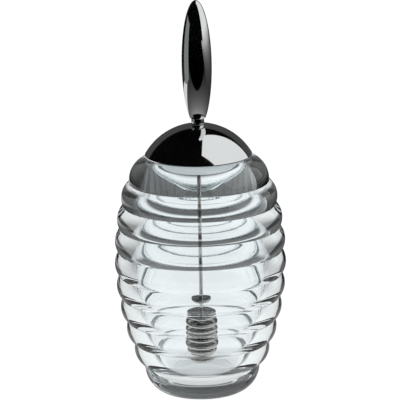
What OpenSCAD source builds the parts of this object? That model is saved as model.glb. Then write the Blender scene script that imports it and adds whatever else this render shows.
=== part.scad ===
// Honey pot of thick ribbed glass. Its polished steel lid lifts off, and a steel
// dipper slides and turns through a bush in the middle of the lid.
// Millimetres. +Z is up, and the origin is the centre of the pot's foot.

/* [Glass pot] */
// Height of the flat ground rim
pot_h = 121.2; // [117:0.2:126]
// Radius over the rib crests at the belly
belly_r = 43; // [41:0.5:46]
// Height of the belly, where the barrel is widest
belly_z = 69; // [66:0.5:72]
// Radius of the arc that the rib crests follow
barrel_arc_r = 136.5; // [130:0.5:150]
// Inner radius of the mouth
mouth_r = 22; // [21:0.1:23]
// Width of the flat ground rim
rim_w = 4.2; // [3.6:0.1:4.8]
// Thickness of the flat glass floor
floor_t = 7.6; // [6:0.1:9]

/* [Ribs, shoulder and heel] */
// Number of ribs between the shoulder and the heel
rib_count = 8; // [7:1:9]
// Radius of each rib's rounded section
rib_round_r = 9.4; // [8.5:0.1:11]
// Height of the lowest rib's centre above the heel's widest point
first_rib_rise = 9.3; // [8.5:0.1:10.5]
// Depth of the highest rib's centre below the shoulder's widest point
last_rib_drop = 8.8; // [8:0.1:10]
// Radius of the shoulder's rounded section
shoulder_round_r = 11.8; // [11:0.1:13]
// Widest radius of the shoulder
shoulder_r = 35.1; // [34.4:0.1:36]
// Depth of the shoulder's widest point below the rim
shoulder_drop = 12.3; // [11:0.1:13.5]
// Radius of the heel's rounded section
heel_round_r = 13.8; // [13:0.1:15]
// Widest radius of the heel
heel_r = 28.9; // [28:0.1:30]
// Height at which the heel is widest
heel_z = 12.8; // [12:0.1:13.6]

/* [Cavity behind the ribs] */
// Glass thickness from a rib's crest to the hollow behind it
rib_wall = 7.5; // [6.5:0.1:8.5]
// Glass thickness at the heel's widest point
heel_wall = 6.5; // [5.5:0.1:7.5]
// Radius of the hollow behind the lowest rib
hollow_r = 7.4; // [7:0.1:9]
// Share of that curve which the hollows behind the highest ribs have lost
hollow_fade = 0.6; // [0.4:0.02:0.66]
// Where the hollows start to flatten, as a share of the way up from the lowest rib
fade_from = 0.15; // [0:0.05:0.3]
// Where they are flattest, as a share of the same way
fade_to = 0.8; // [0.6:0.05:1]
// Radius of the hollow inside the heel
heel_hollow_r = 9; // [8:0.1:10]
// Radius of the soft ridges between the hollows, and under the mouth's bore
ridge_round_r = 2.5; // [1.5:0.1:3]

/* [Lid] */
// Radius of the lid's rim
lid_r = 26.75; // [26.2:0.05:27.5]
// Radius of the sphere that the dome is cut from
dome_r = 31; // [30:0.1:33]
// Height of the straight edge under the dome
lid_edge_h = 0.6; // [0.4:0.1:1]
// Thickness of the steel sheet
lid_sheet = 1; // [0.6:0.1:1.4]
// Thickness of the liner's plate
liner_plate = 1; // [0.8:0.1:1.4]
// Thickness of the liner's skirt
skirt_wall = 1.2; // [0.8:0.1:2]
// Depth of the skirt inside the mouth
skirt_h = 7; // [4:0.5:9]
// Clearance between the skirt and the glass
skirt_gap = 0.4; // [0.2:0.05:0.8]

/* [Guide bush] */
// Thickness of the bush's wall
bush_wall = 1.35; // [1:0.05:1.7]
// How far the bush's flange stands out past its tube
bush_flange_w = 2; // [1:0.1:3]
// Thickness of the bush's flange
bush_flange_h = 1.2; // [0.8:0.1:2]
// How far the snap collar stands out past the tube
bush_collar_w = 0.6; // [0.3:0.1:1]
// Height of the snap collar
bush_collar_h = 1; // [0.6:0.1:2]

/* [Dipper] */
// Widest radius of the handle
handle_r = 7.5; // [6.5:0.1:8.5]
// Radius of the handle's cut lower end
handle_end_r = 4; // [3.6:0.1:4.6]
// Length of the handle
handle_l = 59.66; // [50:0.1:70]
// Radius of the neck under the handle
neck_r = 3.2; // [3:0.1:3.5]
// Height of the neck
neck_h = 3; // [2:0.1:5]
// How far the neck's upper corner is rounded back
neck_round = 0.55; // [0.2:0.05:1]
// Radius of the stem
stem_r = 1; // [0.8:0.05:1.2]
// How far the stem reaches up into the handle
stem_grip = 16; // [8:0.5:24]
// Radius of the stop disc that catches the lid
stop_r = 5.1; // [4.5:0.1:6]
// Thickness of the stop disc
stop_t = 1.2; // [0.8:0.1:2]
// Height of the stop disc above the dipper's head
stop_rise = 6.5; // [5:0.1:15]

/* [Dipper head] */
// Number of discs
disc_count = 7; // [5:1:8]
// Thickness of one disc
disc_t = 1.9; // [1.2:0.1:2.4]
// Gap between two discs, which holds the honey
disc_gap = 1.7; // [1:0.1:2.2]
// Radius of the largest disc
head_r = 8.8; // [7.5:0.1:10]
// Radius of the smallest disc, at the bottom of the head
head_end_r = 6.4; // [5.5:0.1:7]
// Radius of the spacers between the discs
spacer_r = 2.4; // [1.8:0.1:3]
// Radius of the domed cap that closes the stem
cap_r = 3.2; // [2.5:0.1:4]
// Height of the domed cap
cap_h = 2; // [1.5:0.1:3]
// Clearance between the cap and the glass floor
head_clear = 2.6; // [1:0.1:5]

/* [Fits] */
// Gap between faces that rest on each other
seat_gap = 0.1; // [0.05:0.01:0.2]
// Radial clearance of parts that slide or turn
run_gap = 0.05; // [0.03:0.01:0.1]
// Radial clearance of brazed or pressed joints
braze_gap = 0.03; // [0.01:0.01:0.05]

/* [Hidden] */
$fn = 96;
hollow_steps = 12;
ridge_steps = 4;
cut = 1;

// Rib centres are spread evenly on an arc inside the crests' arc, between heel and shoulder.
shoulder_z = pot_h - shoulder_drop;
shoulder_centre = [shoulder_r - shoulder_round_r, shoulder_z];
heel_centre = [heel_r - heel_round_r, heel_z];
rib_arc_x = belly_r - barrel_arc_r;
rib_arc_r = barrel_arc_r - rib_round_r;
first_rib_angle = asin((heel_z + first_rib_rise - belly_z) / rib_arc_r);
last_rib_angle = asin((shoulder_z - last_rib_drop - belly_z) / rib_arc_r);
function rib_angle(i) = first_rib_angle + (last_rib_angle - first_rib_angle) * i / (rib_count - 1);
function rib_centre(i) = [rib_arc_x, belly_z] + rib_arc_r * [cos(rib_angle(i)), sin(rib_angle(i))];

// The cavity has a hollow behind the heel and behind each rib, and they get flatter towards
// the shoulder. A soft ridge of glass rounds each place where two of them meet.
rim_r = mouth_r + rim_w;
function eased(t) = t < 0 ? 0 : t > 1 ? 1 : t * t * (3 - 2 * t);
function lost_curve(i) = hollow_fade * eased((i / (rib_count - 1) - fade_from) / (fade_to - fade_from));
function rib_hollow_r(i) = hollow_r / (1 - lost_curve(i));
hollow_radii = concat([heel_hollow_r], [for (i = [0:rib_count - 1]) rib_hollow_r(i)]);
hollow_centres = concat(
    [[heel_r - heel_wall - heel_hollow_r, floor_t + heel_hollow_r]],
    [for (i = [0:rib_count - 1]) rib_centre(i) + [rib_round_r - rib_wall - rib_hollow_r(i), 0]]
);

// The outer point that lies at one distance from a and at another from b
function outer_meeting(a, from_a, b, from_b) =
    let (apart = norm(b - a), unit = (b - a) / apart)
    let (along = (pow(apart, 2) + pow(from_a, 2) - pow(from_b, 2)) / (2 * apart))
    a + along * unit + sqrt(pow(from_a, 2) - pow(along, 2)) * [unit.y, -unit.x];

// The last ridge leads from the highest hollow into the straight bore of the mouth.
bore_ridge_x = mouth_r + ridge_round_r;
top_reach = hollow_radii[rib_count] + ridge_round_r;
bore_ridge_rise = sqrt(pow(top_reach, 2) - pow(bore_ridge_x - hollow_centres[rib_count].x, 2));
ridge_centres = concat(
    [for (i = [0:rib_count - 1]) outer_meeting(
        hollow_centres[i], hollow_radii[i] + ridge_round_r,
        hollow_centres[i + 1], hollow_radii[i + 1] + ridge_round_r
    )],
    [[bore_ridge_x, hollow_centres[rib_count].y + bore_ridge_rise]]
);

// Headings run anticlockwise from 0 to 360, starting at +X.
function heading(from, to) = (atan2(to.y - from.y, to.x - from.x) + 360) % 360;
function turned_back(angle) = angle > 180 ? angle - 360 : angle;
function hollow_start(i) = i == 0 ? -90 : turned_back(heading(hollow_centres[i], ridge_centres[i - 1]));
function hollow_end(i) = turned_back(heading(hollow_centres[i], ridge_centres[i]));
function ridge_start(i) = heading(ridge_centres[i], hollow_centres[i]);
function ridge_end(i) = i == rib_count ? 180 : heading(ridge_centres[i], hollow_centres[i + 1]);

// The lid stands on the rim; its inner sphere gives the liner its radius.
lid_z = pot_h + seat_gap;
dome_drop = sqrt(pow(dome_r, 2) - pow(lid_r, 2));
dome_centre_z = lid_z + lid_edge_h - dome_drop;
dome_top_z = dome_centre_z + dome_r;
function dome_radius_at(sphere_r, z) = sqrt(pow(sphere_r, 2) - pow(z - dome_centre_z, 2));
inner_dome_r = dome_r - lid_sheet;
liner_r = dome_radius_at(inner_dome_r, lid_z + max(liner_plate, lid_edge_h)) - seat_gap;
skirt_r = mouth_r - skirt_gap;

// The bush hangs in the liner and the dome, and the stem runs in its bore.
bore_r = stem_r + run_gap;
bush_r = bore_r + bush_wall;
bush_hole_r = bush_r + run_gap;
bush_z = lid_z - seat_gap - bush_flange_h;
bush_top_z = dome_top_z - seat_gap;
bush_collar_z = lid_z + liner_plate + seat_gap;

// The dipper hangs from its neck on the dome and stops short of the floor.
neck_z = dome_top_z + seat_gap;
handle_z = neck_z + neck_h;
socket_r = stem_r + braze_gap;
cap_z = floor_t + head_clear;
head_z = cap_z + cap_h;
disc_pitch = disc_t + disc_gap;
head_top_z = head_z + (disc_count - 1) * disc_pitch + disc_t;
stop_z = head_top_z + stop_rise;
stem_z = head_z;
stem_l = handle_z + stem_grip - stem_z;

// An elongated ellipse, cut off where its radius has come down to the end radius.
handle_cut_angle = acos(handle_end_r / handle_r);
handle_half_l = handle_l / (1 + sin(handle_cut_angle));
handle_centre_z = handle_z + handle_l - handle_half_l;
handle_steps = 36;

// Disc radii swell from the bottom disc to the largest, at this share of the head's height,
// and then ease off towards the top.
widest_disc = 0.4;
function disc_swell(t) = 1 - pow((t - widest_disc) / (t < widest_disc ? widest_disc : 1), 2);
function disc_r(i) = head_end_r + (head_r - head_end_r) * disc_swell((i - 1) / (disc_count - 1));

// Share of a thickness that an edge's rounding takes, a little over half for a soft corner
edge_share = 0.53;

// The glass outline: circles for the ribs, shoulder and heel over a core through their centres.
module glass_outline() {
    polygon(concat(
        [[0, 0], [heel_centre.x, 0], heel_centre],
        [for (i = [0:rib_count - 1]) rib_centre(i)],
        [shoulder_centre, [rim_r, pot_h], [0, pot_h]]
    ));
    for (i = [0:rib_count - 1])
        translate(rib_centre(i)) circle(rib_round_r);
    translate(shoulder_centre) circle(shoulder_round_r);
    translate(heel_centre) circle(heel_round_r);
}

// The cavity: hollows and ridges in turn from the flat floor to the bore of the mouth.
function arc_points(centre, radius, start, end, steps, first) =
    [for (k = [first:steps]) let (a = start + (end - start) * k / steps) centre + radius * [cos(a), sin(a)]];

module cavity_outline() {
    polygon(concat(
        [[0, floor_t]],
        [for (i = [0:rib_count]) each concat(
            arc_points(hollow_centres[i], hollow_radii[i], hollow_start(i), hollow_end(i), hollow_steps, i == 0 ? 0 : 1),
            arc_points(ridge_centres[i], ridge_round_r, ridge_start(i), ridge_end(i), ridge_steps, 1)
        )],
        [[mouth_r, pot_h + cut], [0, pot_h + cut]]
    ));
}

module glass_pot() {
    color([0.80, 0.88, 0.90, 0.5])
    rotate_extrude()
    difference() {
        intersection() {
            glass_outline();
            square([2 * belly_r, pot_h]);
        }
        cavity_outline();
    }
}

// Everything under a sphere about the dome's centre, down to the lid's rim.
module under_dome(sphere_r) {
    rim_z = lid_z + lid_edge_h;
    translate([0, lid_z]) square([dome_radius_at(sphere_r, rim_z), lid_edge_h]);
    intersection() {
        translate([0, dome_centre_z]) circle(sphere_r);
        translate([0, rim_z]) square([sphere_r, sphere_r]);
    }
}

module lid_dome() {
    color([0.72, 0.73, 0.75])
    rotate_extrude()
    difference() {
        under_dome(dome_r);
        under_dome(inner_dome_r);
        translate([0, lid_z]) square([bush_hole_r, dome_r]);
    }
}

// The liner: a plate inside the dome's edge, and a skirt that keeps the lid in the mouth.
module lid_liner() {
    color([0.94, 0.95, 0.94])
    rotate_extrude() {
        translate([bush_hole_r, lid_z]) square([liner_r - bush_hole_r, liner_plate]);
        translate([skirt_r - skirt_wall, lid_z - skirt_h]) square([skirt_wall, skirt_h + liner_plate]);
    }
}

// The bush: a flange under the liner, a snap collar over it and a tube up to the dome's top.
module guide_bush() {
    color([0.90, 0.90, 0.86])
    rotate_extrude() {
        translate([bore_r, bush_z]) square([bush_wall, bush_top_z - bush_z]);
        translate([bore_r, bush_z]) square([bush_wall + bush_flange_w, bush_flange_h]);
        translate([bore_r, bush_collar_z]) square([bush_wall + bush_collar_w, bush_collar_h]);
    }
}

module handle() {
    color([0.70, 0.71, 0.73])
    rotate_extrude()
    difference() {
        polygon(concat(
            [[0, handle_z]],
            [for (i = [0:handle_steps])
                let (a = -handle_cut_angle + (90 + handle_cut_angle) * i / handle_steps)
                [handle_r * cos(a), handle_centre_z + handle_half_l * sin(a)]]
        ));
        translate([0, handle_z - cut]) square([socket_r, stem_grip + seat_gap + cut]);
    }
}

// The neck: a short ferrule with a rounded shoulder, pierced for the stem.
module neck() {
    color([0.66, 0.67, 0.69])
    rotate_extrude()
    intersection() {
        translate([socket_r, neck_z]) square([neck_r - socket_r, neck_h]);
        translate([0, neck_z]) circle(norm([neck_r, neck_h]) - neck_round);
    }
}

module stem() {
    color([0.70, 0.71, 0.73])
    translate([0, 0, stem_z]) cylinder(h = stem_l, r = stem_r);
}

// A disc with a bore for the stem and a rounded edge.
module rounded_disc(radius, thickness) {
    edge = thickness * edge_share;
    rotate_extrude()
    difference() {
        intersection() {
            square([radius, thickness]);
            union() {
                square([radius - edge, thickness]);
                translate([radius - edge, thickness / 2]) circle(edge);
            }
        }
        translate([0, -cut]) square([socket_r, thickness + 2 * cut]);
    }
}

module stop_disc() {
    color([0.55, 0.56, 0.58])
    translate([0, 0, stop_z]) rounded_disc(stop_r, stop_t);
}

module head_disc(i) {
    color([0.74, 0.73, 0.72])
    translate([0, 0, head_z + (i - 1) * disc_pitch]) rounded_disc(disc_r(i), disc_t);
}

module spacer(i) {
    color([0.60, 0.61, 0.62])
    translate([0, 0, head_z + i * disc_pitch - disc_gap])
    difference() {
        cylinder(h = disc_gap, r = spacer_r);
        translate([0, 0, -cut]) cylinder(h = disc_gap + 2 * cut, r = socket_r);
    }
}

// The cap: a shallow dome under the lowest disc, brazed to the stem's end.
module end_cap() {
    cap_sphere_r = (pow(cap_r, 2) + pow(cap_h, 2)) / (2 * cap_h);
    color([0.70, 0.71, 0.73])
    rotate_extrude()
    intersection() {
        translate([0, cap_z + cap_sphere_r]) circle(cap_sphere_r);
        translate([0, cap_z]) square([cap_r, cap_h]);
    }
}

glass_pot();
lid_dome();
lid_liner();
guide_bush();
handle();
neck();
stem();
stop_disc();
for (i = [1:disc_count])
    head_disc(i);
for (i = [1:disc_count - 1])
    spacer(i);
end_cap();
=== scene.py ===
"""A honey pot of thick ribbed glass, with a lift-off steel lid and a steel dipper.

The pot is pressed glass and stands on its own round foot. The lid is a dome of polished
steel over a plastic liner. The dipper's stem slides and turns in a bush in the lid.
"""

import bpy
import numpy as np
from mathutils import Matrix, Vector


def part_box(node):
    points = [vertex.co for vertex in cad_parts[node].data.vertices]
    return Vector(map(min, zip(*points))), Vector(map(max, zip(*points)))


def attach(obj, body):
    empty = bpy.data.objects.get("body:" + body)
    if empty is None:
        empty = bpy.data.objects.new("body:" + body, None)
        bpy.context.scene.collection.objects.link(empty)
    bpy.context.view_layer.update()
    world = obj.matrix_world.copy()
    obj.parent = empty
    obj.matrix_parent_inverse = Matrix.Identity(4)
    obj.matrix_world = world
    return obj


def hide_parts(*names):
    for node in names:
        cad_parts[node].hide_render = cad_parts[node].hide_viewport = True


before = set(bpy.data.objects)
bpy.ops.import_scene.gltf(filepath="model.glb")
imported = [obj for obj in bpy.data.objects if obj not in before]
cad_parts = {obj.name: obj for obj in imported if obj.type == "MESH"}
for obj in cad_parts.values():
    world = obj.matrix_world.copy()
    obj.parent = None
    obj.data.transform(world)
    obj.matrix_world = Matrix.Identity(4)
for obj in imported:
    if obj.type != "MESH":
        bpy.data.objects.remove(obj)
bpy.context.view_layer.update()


# The camera: a long lens in front of the pot and about 14 degrees above it, turned by a
# hair, because the pot leans a little to the left in the picture.
picture_px = 400
focal_px = 4122
camera_roll = np.radians(-1.1)
camera_place = Vector((0.00035, -2.0, 0.6014))
camera_target = Vector((0.00035, 0.0, 0.0980))

camera = bpy.data.objects.new("camera", bpy.data.cameras.new("camera"))
camera.data.sensor_width = 36
camera.data.lens = camera.data.sensor_width * focal_px / picture_px
camera.matrix_world = (
    Matrix.Translation(camera_place)
    @ (camera_target - camera_place).to_track_quat("-Z", "Y").to_matrix().to_4x4()
    @ Matrix.Rotation(camera_roll, 4, "Z")
)
bpy.context.scene.collection.objects.link(camera)
bpy.context.scene.camera = camera
bpy.context.scene.view_settings.view_transform = "Standard"


# The room: white to the camera, and an even soft light on whatever is matt. Steel mirrors
# it as nearly black, with a dim wall behind, and glass bends its lower part into view.
def node(tree, kind, inputs=None, **settings):
    """One shader node. An input is a value, or the output of another node to link."""
    new = tree.nodes.new(kind)
    for setting, value in settings.items():
        setattr(new, setting, value)
    for socket, value in (inputs or {}).items():
        if isinstance(value, bpy.types.NodeSocket):
            tree.links.new(value, new.inputs[socket])
        else:
            new.inputs[socket].default_value = value
    return new


def along(tree, point, direction):
    """How far a point lies in a direction: the dot product of the two."""
    product = node(tree, "ShaderNodeVectorMath", {0: point, 1: direction}, operation="DOT_PRODUCT")
    return product.outputs["Value"]


def fade(tree, value, start, end, low, high):
    """A number that goes smoothly from low to high as value goes from start to end."""
    limits = {"Value": value, "From Min": start, "From Max": end, "To Min": low, "To Max": high}
    return node(tree, "ShaderNodeMapRange", limits, interpolation_type="SMOOTHSTEP").outputs["Result"]


def choose(tree, share, when_low, when_high):
    """when_low where share is 0, when_high where it is 1."""
    mix = node(tree, "ShaderNodeMix", {"Factor": share, "A": when_low, "B": when_high})
    return mix.outputs["Result"]


room_light = 0.80
world = bpy.data.worlds.new("studio")
bpy.context.scene.world = world
world.use_nodes = True
tree = world.node_tree
tree.nodes.clear()
ray = node(tree, "ShaderNodeLightPath").outputs
look = node(tree, "ShaderNodeTexCoord").outputs["Generated"]
towards_back = along(tree, look, (camera_target - camera_place).normalized())
seen_in_steel = fade(tree, towards_back, start=0.60, end=0.66, low=0.001, high=0.065)
upwards = along(tree, look, (0, 0, 1))
seen_in_glass = fade(tree, upwards, start=0.02, end=0.5, low=0.145, high=0.04)
strength = choose(tree, ray["Is Glossy Ray"], room_light, seen_in_steel)
strength = choose(tree, ray["Is Transmission Ray"], strength, seen_in_glass)
strength = choose(tree, ray["Is Camera Ray"], strength, 1)
background = node(tree, "ShaderNodeBackground", {"Color": (1, 1, 1, 1), "Strength": strength})
node(tree, "ShaderNodeOutputWorld", {"Surface": background.outputs[0]})


# The table: a pale sheet, white to the camera. Steel sees it in painted reflections: it glows
# only to steel, bright near the pot, in a wedge to the right and in a patch behind on the left.
# Glass sees it pale round the pot and dark further out, with a painted shadow under the foot.
def combine(tree, operation, first, *others):
    """Numbers joined one after another by one operation, such as MULTIPLY or MAXIMUM."""
    for other in others:
        first = node(tree, "ShaderNodeMath", {0: first, 1: other}, operation=operation).outputs[0]
    return first


def blank_material(name):
    """A new material and its empty node tree."""
    material = bpy.data.materials.new(name)
    material.use_nodes = True
    material.node_tree.nodes.clear()
    return material, material.node_tree


def sheet(name, corners, material):
    """A flat sheet between four corners."""
    flat = bpy.data.objects.new(name, bpy.data.meshes.new(name))
    flat.data.from_pydata([tuple(corner) for corner in corners], [], [(0, 1, 2, 3)])
    flat.data.materials.append(material)
    bpy.context.scene.collection.objects.link(flat)
    return flat


table_half = 6.0
table_paint, table_glow = 0.25, 0.85
bounced_paint = 0.8
table_white, tree = blank_material("table_white")
ray = node(tree, "ShaderNodeLightPath").outputs
place = node(tree, "ShaderNodeTexCoord").outputs["Object"]
rightwards, backwards = along(tree, place, (1, 0, 0)), along(tree, place, (0, 1, 0))
reach = node(tree, "ShaderNodeVectorMath", {0: place}, operation="LENGTH").outputs["Value"]

# Painted reflections: glow that only steel sees, falling off from the pot, in a wedge to the right and in a
# patch behind on the left.
near_pot_r = 0.096
painted_reflection_near_pot = combine(tree, "POWER", combine(tree, "DIVIDE", near_pot_r, reach), 2.0)
front_limit = fade(tree, backwards, start=-0.37, end=-0.35, low=0, high=0.5)
painted_reflection_near_pot = combine(tree, "MINIMUM", painted_reflection_near_pot, front_limit)
painted_reflection_wedge = fade(tree, rightwards, start=0.30, end=2.40, low=0.035, high=0.45)
wedge_edge = fade(tree, along(tree, place, (0.76, 0.65, 0)), start=0.26, end=0.28, low=0, high=1)
painted_reflection_wedge = combine(tree, "MULTIPLY", painted_reflection_wedge, wedge_edge)
painted_reflection_patch = fade(tree, along(tree, place, (-1, 1, 0)), start=0.45, end=0.47, low=0, high=0.8)
patch_edge = fade(tree, reach, start=0.55, end=0.57, low=1, high=0)
painted_reflection_patch = combine(tree, "MULTIPLY", painted_reflection_patch, patch_edge)
seen_in_steel = combine(tree, "MAXIMUM", painted_reflection_near_pot, painted_reflection_wedge, painted_reflection_patch)

# What glass sees of the table is painted light: a painted shadow under the pot's foot, and painted shade in
# front, far behind and to the sides.
seen_in_glass = combine(
    tree,
    "MULTIPLY",
    fade(tree, reach, start=0.010, end=0.040, low=0.75, high=1),
    fade(tree, backwards, start=-0.24, end=-0.08, low=0.03, high=1),
    fade(tree, backwards, start=0.30, end=0.50, low=1, high=0.16),
    fade(tree, combine(tree, "ABSOLUTE", rightwards, 0), start=0.10, end=0.36, low=1, high=0.30),
)
glow = choose(tree, ray["Is Glossy Ray"], 0, seen_in_steel)
glow = choose(tree, ray["Is Transmission Ray"], glow, seen_in_glass)
glow = choose(tree, ray["Is Camera Ray"], glow, table_glow)
paint = choose(tree, ray["Is Diffuse Ray"], 0, bounced_paint)
paint = choose(tree, ray["Is Camera Ray"], paint, table_paint)
matt = node(tree, "ShaderNodeBsdfDiffuse", {"Color": paint})
lit = node(tree, "ShaderNodeEmission", {"Strength": glow})
surface = node(tree, "ShaderNodeAddShader", {0: matt.outputs[0], 1: lit.outputs[0]})
node(tree, "ShaderNodeOutputMaterial", {"Surface": surface.outputs[0]})
table_corners = [(table_half * x, table_half * y, 0) for x, y in ((-1, -1), (1, -1), (1, 1), (-1, 1))]
table = sheet("table", table_corners, table_white)


# The softbox: a large panel that leans in from the right. It lights the pot, and shows in
# the dome and the handle as one bright patch.
softbox_middle = Vector((0.35, 0.025, 0.62))
softbox_width, softbox_length = 0.89, 1.10
softbox_across = Vector((0, 1, 0)) * softbox_width / 2
softbox_down = Vector((0.45, 0, -0.89)).normalized() * softbox_length / 2
softbox_cloth, tree = blank_material("softbox_cloth")
height = along(tree, node(tree, "ShaderNodeTexCoord").outputs["Object"], (0, 0, 1))
brightness = fade(tree, height, start=0.13, end=0.22, low=0.50, high=0.90)
lit = node(tree, "ShaderNodeEmission", {"Color": (0.975, 1, 1, 1), "Strength": brightness})
node(tree, "ShaderNodeOutputMaterial", {"Surface": lit.outputs[0]})
softbox_corners = [
    softbox_middle + softbox_across * a + softbox_down * b for a, b in ((-1, -1), (1, -1), (1, 1), (-1, 1))
]
softbox = sheet("softbox", softbox_corners, softbox_cloth)
softbox.visible_camera = False
softbox.visible_shadow = False


# The grey card: a dim upright sheet on the left. Only steel shows it, as a soft stripe in
# the handle and the neck.
card_x, card_front, card_back, card_top = -0.50, -0.22, 0.20, 0.26
card_grey, tree = blank_material("card_grey")
lit = node(tree, "ShaderNodeEmission", {"Color": (0.93, 1, 1, 1), "Strength": 0.24})
node(tree, "ShaderNodeOutputMaterial", {"Surface": lit.outputs[0]})
card_outline = ((card_front, 0), (card_back, 0), (card_back, card_top), (card_front, card_top))
side_card = sheet("side_card", [(card_x, y, z) for y, z in card_outline], card_grey)
side_card.visible_camera = side_card.visible_diffuse = side_card.visible_transmission = False
side_card.visible_shadow = False


# The pot: clear pressed glass, 8 rounded ribs between a rounded heel and a rounded
# shoulder, with sharp creases where the mould's grooves met, and a ground rim. Inside, a
# hollow lies behind each rib, flatter towards the top, with a soft ridge between two.
MM = 0.001


def arc(centre, radius, start, end, steps):
    """Points round a circle: centre + radius (cos a, sin a), a from start to end in degrees."""
    a = np.radians(np.linspace(start, end, steps + 1))
    return np.column_stack([centre[0] + radius * np.cos(a), centre[1] + radius * np.sin(a)])


def circles_meet(centre_a, radius_a, centre_b, radius_b):
    """The outer point where two circles cross, a distance d apart.

    It lies (d^2 + ra^2 - rb^2) / 2d along the line of centres, and beside it by the third
    side of the right triangle under ra.
    """
    gap = np.subtract(centre_b, centre_a)
    apart = np.hypot(*gap)
    along_gap = (apart**2 + radius_a**2 - radius_b**2) / (2 * apart)
    out = np.sqrt(radius_a**2 - along_gap**2)
    unit = gap / apart
    return centre_a + along_gap * unit + out * np.array([unit[1], -unit[0]])


def angle_of(point, centre):
    """The direction of a point from a centre, in degrees."""
    return np.degrees(np.arctan2(point[1] - centre[1], point[0] - centre[0]))


def turned(name, body, profile, turns=192, closed=False, crisp_turn=24):
    """A profile (r, z) in millimetres carried round the Z axis: x = r cos t, y = r sin t.

    It runs anticlockwise, so that faces point outwards. A point on the axis becomes one
    pole, and a ring where the profile turns by more than crisp_turn degrees stays crisp.
    """
    r, z = np.asarray(profile, float).T * MM
    t = np.arange(turns) * 2 * np.pi / turns
    points = np.stack([np.outer(r, np.cos(t)), np.outer(r, np.sin(t)), np.outer(z, np.ones(turns))], 2)
    index = np.arange(r.size * turns).reshape(r.size, turns)
    on_axis = r < 1e-7
    index[on_axis] = index[on_axis][:, :1]
    here, there = (index, np.roll(index, -1, 0)) if closed else (index[:-1], index[1:])
    quads = np.stack([here, np.roll(here, -1, 1), np.roll(there, -1, 1), there], 2).reshape(-1, 4)
    starts_at_pole, ends_at_pole = quads[:, 0] == quads[:, 1], quads[:, 2] == quads[:, 3]
    whole = quads[~starts_at_pole & ~ends_at_pole]
    tips = np.vstack([quads[starts_at_pole][:, [0, 2, 3]], quads[ends_at_pole][:, :3]])
    used, fresh = np.unique(np.concatenate([whole.ravel(), tips.ravel()]), return_inverse=True)
    whole, tips = fresh[: whole.size].reshape(-1, 4), fresh[whole.size :].reshape(-1, 3)
    mesh = bpy.data.meshes.new(name)
    mesh.from_pydata(points.reshape(-1, 3)[used], [], whole.tolist() + tips.tolist(), shade_flat=False)

    steps = np.diff(np.column_stack([r, z]), axis=0, append=[[r[0], z[0]]])
    heading = np.arctan2(steps[:, 1], steps[:, 0])
    turn = np.abs((heading - np.roll(heading, 1) + np.pi) % (2 * np.pi) - np.pi)
    crisp_ring = turn > np.radians(crisp_turn)
    ends = np.zeros(len(mesh.edges) * 2, int)
    mesh.edges.foreach_get("vertices", ends)
    ring = (used // turns)[ends].reshape(-1, 2)
    crisp = (ring[:, 0] == ring[:, 1]) & crisp_ring[ring[:, 0]]
    mesh.attributes.new("sharp_edge", "BOOLEAN", "EDGE").data.foreach_set("value", crisp)

    piece = bpy.data.objects.new(name, mesh)
    bpy.context.scene.collection.objects.link(piece)
    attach(piece, body)
    return piece


pot_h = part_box("glass_pot")[1].z / MM
belly_r, belly_z, barrel_r = 43.0, 69.0, 136.5
rib_count, rib_r, first_rib_rise, last_rib_drop = 8, 9.4, 9.3, 8.8
heel, heel_r = np.array([15.1, 12.8]), 13.8
shoulder, shoulder_r = np.array([23.3, 108.9]), 11.8
rim_outer_r, mouth_r = 26.2, 22.0
rib_wall, heel_wall, floor_z = 7.5, 6.5, 7.6
hollow_r, hollow_fade, fade_from, fade_to = 7.0, 0.83, 0.43, 0.88
heel_hollow_r, top_hollow_r, ridge_r = 9.0, 18.4, 2.0

rib_arc_r = barrel_r - rib_r
first_rib = np.degrees(np.arcsin((heel[1] + first_rib_rise - belly_z) / rib_arc_r))
last_rib = np.degrees(np.arcsin((shoulder[1] - last_rib_drop - belly_z) / rib_arc_r))
rib_centres = arc((belly_r - barrel_r, belly_z), rib_arc_r, first_rib, last_rib, steps=rib_count - 1)
centres = [heel, *rib_centres, shoulder]
radii = [heel_r] + [rib_r] * rib_count + [shoulder_r]
creases = [circles_meet(a, ra, b, rb) for a, ra, b, rb in zip(centres, radii, centres[1:], radii[1:])]
foot_edge = np.array([heel[0] + np.sqrt(heel_r**2 - heel[1] ** 2), 0])
rim_edge = np.array([rim_outer_r, pot_h])
slope = (rim_edge - shoulder) / np.hypot(*(rim_edge - shoulder))
shoulder_top = shoulder + shoulder_r * slope
outside = [
    arc(centre, radius, angle_of(low, centre), angle_of(high, centre), steps=14)
    for centre, radius, low, high in zip(centres, radii, [foot_edge, *creases], [*creases, shoulder_top])
]
outside = [outside[0]] + [curve[1:] for curve in outside[1:]]

# The hollows flatten upwards: a radius is hollow_r / (1 - hollow_fade s), where s eases
# from 0 at the share fade_from of the ribs to 1 at fade_to.
share = np.clip((np.linspace(0, 1, rib_count) - fade_from) / (fade_to - fade_from), 0, 1)
hollow_radii = hollow_r / (1 - hollow_fade * share**2 * (3 - 2 * share))
hollow_radii[-1] = top_hollow_r
heel_hollow = np.array([heel[0] + heel_r - heel_wall - heel_hollow_r, floor_z + heel_hollow_r])
rib_hollows = rib_centres + np.column_stack([rib_r - rib_wall - hollow_radii, np.zeros(rib_count)])
centres, radii = [heel_hollow, *rib_hollows], [heel_hollow_r, *hollow_radii]
ridges = [
    circles_meet(a, ra + ridge_r, b, rb + ridge_r)
    for a, ra, b, rb in zip(centres, radii, centres[1:], radii[1:])
]
bore_ridge_x = mouth_r + ridge_r
bore_ridge_rise = np.sqrt((radii[-1] + ridge_r) ** 2 - (bore_ridge_x - centres[-1][0]) ** 2)
hollow_starts = [-90] + [angle_of(ridge, centre) for ridge, centre in zip(ridges, centres[1:])]
ridge_ends = [angle_of(centre, ridge) % 360 for ridge, centre in zip(ridges, centres[1:])] + [180]
ridges.append(np.array([bore_ridge_x, centres[-1][1] + bore_ridge_rise]))
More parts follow.
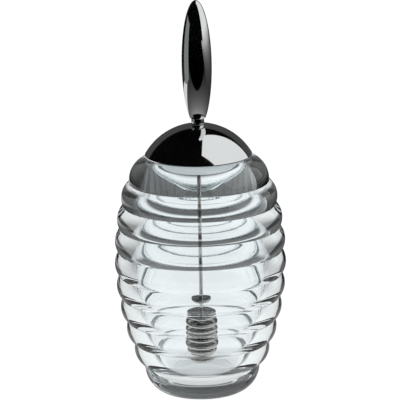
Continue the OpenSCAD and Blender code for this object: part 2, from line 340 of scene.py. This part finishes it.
inside = [np.array([(0, floor_z), (heel_hollow[0], floor_z)])]
for centre, radius, start, ridge, end in zip(centres, radii, hollow_starts, ridges, ridge_ends):
    inside.append(arc(centre, radius, start, angle_of(ridge, centre), steps=16)[1:])
    inside.append(arc(ridge, ridge_r, angle_of(centre, ridge) % 360, end, steps=8)[1:])
inside = np.vstack([*inside, (mouth_r, pot_h)])[::-1]
pot_profile = np.vstack([[(0, 0)], *outside, [rim_edge], inside])
pot = turned("glass_pot_body", "pot", pot_profile, turns=224)
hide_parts("glass_pot")

clear_glass, tree = blank_material("clear_glass")
place = node(tree, "ShaderNodeTexCoord").outputs["Object"]
waves = node(tree, "ShaderNodeTexNoise", {"Vector": place, "Scale": 60, "Detail": 1}).outputs["Fac"]
swell = node(tree, "ShaderNodeBump", {"Height": waves, "Strength": 0.02, "Distance": 0.001})
glass = node(
    tree,
    "ShaderNodeBsdfPrincipled",
    {
        "Base Color": (0.955, 0.985, 0.995, 1),
        "Roughness": 0.0,
        "IOR": 1.52,
        "Transmission Weight": 1.0,
        "Normal": swell.outputs["Normal"],
    },
)
depth = node(tree, "ShaderNodeVolumeAbsorption", {"Color": (0.60, 0.84, 0.90, 1), "Density": 3.0})
ray = node(tree, "ShaderNodeLightPath").outputs
lets_light_in = combine(tree, "MAXIMUM", ray["Is Diffuse Ray"], ray["Is Shadow Ray"])
clear = node(tree, "ShaderNodeBsdfTransparent", {"Color": (0.97, 0.99, 1.0, 1)})
surface = node(tree, "ShaderNodeMixShader", {0: lets_light_in, 1: glass.outputs[0], 2: clear.outputs[0]})
node(tree, "ShaderNodeOutputMaterial", {"Surface": surface.outputs[0], "Volume": depth.outputs[0]})
pot.data.materials.append(clear_glass)


# The lid's dome: spun from steel sheet, polished like a mirror, with a rolled-in edge
# that rests on the rim.
lid_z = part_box("lid_dome")[0].z / MM
lid_r, dome_r, sheet_t, edge_h, edge_round = 26.75, 31.0, 1.0, 0.6, 0.25
stem_hole_r = 2.45
dome_drop = np.sqrt(dome_r**2 - lid_r**2)
rim_z = lid_z + edge_h
dome_centre = np.array([0, rim_z - dome_drop])
inner_r = dome_r - sheet_t
inner_rim_r = np.sqrt(inner_r**2 - dome_drop**2)


def dome_arc(radius, rim_r, steps):
    """The dome's curve at a radius, from its rim up to the stem's hole."""
    hole_edge = (stem_hole_r, dome_centre[1] + np.sqrt(radius**2 - stem_hole_r**2))
    start, end = angle_of((rim_r, rim_z), dome_centre), angle_of(hole_edge, dome_centre)
    return arc(dome_centre, radius, start, end, steps)


edge = arc((lid_r - edge_round, lid_z + edge_round), edge_round, -90, 0, steps=5)
outer = dome_arc(dome_r, lid_r, steps=72)
inner = dome_arc(inner_r, inner_rim_r, steps=48)[::-1]
dome = turned(
    "lid_dome_shell", "lid", np.vstack([[(inner_rim_r, lid_z)], edge, outer, inner]), turns=224, closed=True
)
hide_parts("lid_dome")


def clouded(tree, cloud, colour, darkest):
    """A colour that goes down to a darker share of itself where the cloud is thin."""
    darker = [part * darkest for part in colour] + [1]
    tone = node(tree, "ShaderNodeMix", {"Factor": cloud, "A": darker, "B": [*colour, 1]}, data_type="RGBA")
    return tone.outputs["Result"]


def polished_steel(name, colour, roughness, ripple):
    """Mirror steel: fine differences in gloss and tone, over a faint ripple in the metal."""
    steel, tree = blank_material(name)
    place = node(tree, "ShaderNodeTexCoord").outputs["Object"]
    haze = node(tree, "ShaderNodeTexNoise", {"Vector": place, "Scale": 90, "Detail": 4}).outputs["Fac"]
    gloss = fade(tree, haze, start=0.35, end=0.7, low=roughness * 0.7, high=roughness * 1.4)
    waves = node(tree, "ShaderNodeTexNoise", {"Vector": place, "Scale": 45, "Detail": 1}).outputs["Fac"]
    bump = node(tree, "ShaderNodeBump", {"Height": waves, "Strength": ripple, "Distance": 0.001})
    metal = node(
        tree,
        "ShaderNodeBsdfPrincipled",
        {"Metallic": 1.0, "Roughness": gloss, "Normal": bump.outputs["Normal"]},
    )
    tree.links.new(clouded(tree, haze, colour, darkest=0.94), metal.inputs["Base Color"])
    node(tree, "ShaderNodeOutputMaterial", {"Surface": metal.outputs[0]})
    return steel


dome.data.materials.append(polished_steel("lid_steel", (0.80, 0.80, 0.81), roughness=0.05, ripple=0.01))


# The liner: pale moulded plastic pressed into the dome. Its skirt keeps the lid in the
# middle of the mouth.
liner_low, liner_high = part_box("lid_liner")
liner_r, liner_low_z, liner_top_z = liner_high.x / MM, liner_low.z / MM, liner_high.z / MM
skirt_r, skirt_wall, liner_edge = 21.6, 1.2, 0.2
skirt_inner_r = skirt_r - skirt_wall
liner_profile = np.array(
    [
        (stem_hole_r, lid_z),
        (skirt_inner_r, lid_z),
        (skirt_inner_r, liner_low_z + liner_edge),
        (skirt_inner_r + liner_edge, liner_low_z),
        (skirt_r - liner_edge, liner_low_z),
        (skirt_r, liner_low_z + liner_edge),
        (skirt_r, lid_z),
        (liner_r, lid_z),
        (liner_r, liner_top_z),
        (stem_hole_r, liner_top_z),
    ]
)
liner = turned("lid_liner_disc", "lid", liner_profile, closed=True)
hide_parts("lid_liner")


def moulded_plastic(name, colour, roughness):
    """Smooth moulded plastic: a little cloudiness in its colour and a fine skin."""
    plastic, tree = blank_material(name)
    place = node(tree, "ShaderNodeTexCoord").outputs["Object"]
    cloud = node(tree, "ShaderNodeTexNoise", {"Vector": place, "Scale": 120, "Detail": 3}).outputs["Fac"]
    skin = node(tree, "ShaderNodeTexNoise", {"Vector": place, "Scale": 1500, "Detail": 2}).outputs["Fac"]
    bump = node(tree, "ShaderNodeBump", {"Height": skin, "Strength": 0.05, "Distance": 0.0001})
    body = node(
        tree, "ShaderNodeBsdfPrincipled", {"Roughness": roughness, "Normal": bump.outputs["Normal"]}
    )
    tree.links.new(clouded(tree, cloud, colour, darkest=0.95), body.inputs["Base Color"])
    node(tree, "ShaderNodeOutputMaterial", {"Surface": body.outputs[0]})
    return plastic


liner.data.materials.append(moulded_plastic("liner_plastic", (0.90, 0.91, 0.91), roughness=0.35))


# The guide bush: a moulded plastic tube. Its flange below and its snap collar above hold
# it in the liner's hole, and the stem runs in its bore.
bush_low, bush_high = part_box("guide_bush")
bush_bottom, bush_top = bush_low.z / MM, bush_high.z / MM
bore_r, bush_r, flange_r, flange_h = 1.05, 2.4, 4.4, 1.2
collar_r, collar_h, collar_gap = 3.0, 1.0, 0.1
collar_z = liner_top_z + collar_gap
bush_profile = np.array(
    [
        (bore_r, bush_bottom),
        (flange_r, bush_bottom),
        (flange_r, bush_bottom + flange_h),
        (bush_r, bush_bottom + flange_h),
        (bush_r, collar_z),
        (collar_r, collar_z),
        (collar_r, collar_z + collar_h),
        (bush_r, collar_z + collar_h),
        (bush_r, bush_top),
        (bore_r, bush_top),
    ]
)
bush = turned("guide_bush_tube", "bush", bush_profile, turns=64, closed=True)
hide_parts("guide_bush")
bush.data.materials.append(moulded_plastic("bush_plastic", (0.88, 0.88, 0.85), roughness=0.4))


# The handle: a long spindle of polished steel, forged and turned, cut off flat where it
# meets the neck. It is an ellipse: r = handle_r cos a, z = tip - half + half sin a.
handle_low, handle_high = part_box("handle")
handle_z, handle_tip = handle_low.z / MM, handle_high.z / MM
handle_r, handle_end_r, handle_round = 7.5, 4.0, 0.25
cut_angle = np.arccos(handle_end_r / handle_r)
handle_half = (handle_tip - handle_z) / (1 + np.sin(cut_angle))
swing = np.linspace(-cut_angle, np.pi / 2, 73)
spindle = np.column_stack([handle_r * np.cos(swing), handle_tip - handle_half + handle_half * np.sin(swing)])
spindle[-1, 0] = 0
lower_edge = arc((handle_end_r - handle_round, handle_z + handle_round), handle_round, -90, -15, steps=4)
spindle = spindle[spindle[:, 1] > handle_z + handle_round]
handle = turned("handle_spindle", "dipper", np.vstack([[(0, handle_z)], lower_edge, spindle]), turns=128)
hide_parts("handle")
handle_steel = polished_steel("handle_steel", (0.80, 0.80, 0.81), roughness=0.05, ripple=0.006)
handle.data.materials.append(handle_steel)


# The neck: a short ferrule turned from steel, with rounded corners. It sits on the stem
# between the handle and the dome.
neck_low, neck_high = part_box("neck")
neck_z, neck_top, neck_r, neck_round = neck_low.z / MM, neck_high.z / MM, 3.2, 0.35
socket_r = 1.03
neck_profile = np.vstack(
    [
        [(socket_r, neck_z)],
        arc((neck_r - neck_round, neck_z + neck_round), neck_round, -90, 0, steps=6),
        arc((neck_r - neck_round, neck_top - neck_round), neck_round, 0, 90, steps=6),
        [(socket_r, neck_top)],
    ]
)
neck = turned("neck_ferrule", "dipper", neck_profile, turns=96, closed=True)
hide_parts("neck")
neck.data.materials.append(handle_steel)


# The stem: a drawn steel rod, fixed in the handle. It runs through the neck and the lid
# down to the dipper's head.
stem_low, stem_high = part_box("stem")
stem_r, stem_z, stem_top = 1.0, stem_low.z / MM, stem_high.z / MM
stem_profile = np.array([(0, stem_z), (stem_r, stem_z), (stem_r, stem_top), (0, stem_top)])
stem = turned("stem_rod", "dipper", stem_profile, turns=48)
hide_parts("stem")
dipper_steel = polished_steel("dipper_steel", (0.62, 0.60, 0.58), roughness=0.12, ripple=0.01)
stem.data.materials.append(dipper_steel)


# The stop disc and the head's discs: turned from steel plate with rounded edges, and
# brazed to the stem.
def turned_disc(name, cad_node):
    """A disc of the CAD node's radius and thickness, with a round edge and the stem's bore."""
    low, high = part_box(cad_node)
    radius, bottom, top = high.x / MM, low.z / MM, high.z / MM
    edge_r = (top - bottom) / 2
    rim = arc((radius - edge_r, bottom + edge_r), edge_r, -90, 90, steps=12)
    disc_profile = np.vstack([[(socket_r, bottom)], rim, [(socket_r, top)]])
    disc = turned(name, "dipper", disc_profile, turns=128, closed=True)
    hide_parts(cad_node)
    disc.data.materials.append(dipper_steel)


turned_disc("stop_disc_turned", "stop_disc")
for cad_node in sorted(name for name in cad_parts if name.startswith("head_disc_")):
    turned_disc(f"{cad_node}_turned", cad_node)


# The spacers: short sleeves cut from steel tube. They sit on the stem and hold the head's
# discs apart.
spacer_r = 2.4
for cad_node in sorted(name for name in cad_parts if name.startswith("spacer_")):
    low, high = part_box(cad_node)
    bottom, top = low.z / MM, high.z / MM
    sleeve_profile = np.array([(socket_r, bottom), (spacer_r, bottom), (spacer_r, top), (socket_r, top)])
    sleeve = turned(f"{cad_node}_sleeve", "dipper", sleeve_profile, turns=64, closed=True)
    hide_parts(cad_node)
    sleeve.data.materials.append(dipper_steel)


# The end cap: a shallow dome of steel that closes the stem under the lowest disc. Its
# sphere has the radius (r^2 + h^2) / 2h, from the cap's radius r and height h.
cap_low, cap_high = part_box("end_cap")
cap_r, cap_z, cap_top = cap_high.x / MM, cap_low.z / MM, cap_high.z / MM
cap_sphere_r = (cap_r**2 + (cap_top - cap_z) ** 2) / (2 * (cap_top - cap_z))
cap_centre = (0, cap_z + cap_sphere_r)
bowl = arc(cap_centre, cap_sphere_r, -90, angle_of((cap_r, cap_top), cap_centre), steps=20)
bowl[0, 0] = 0
cap = turned("end_cap_dome", "dipper", np.vstack([bowl, [(0, cap_top)]]), turns=64)
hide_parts("end_cap")
cap.data.materials.append(dipper_steel)
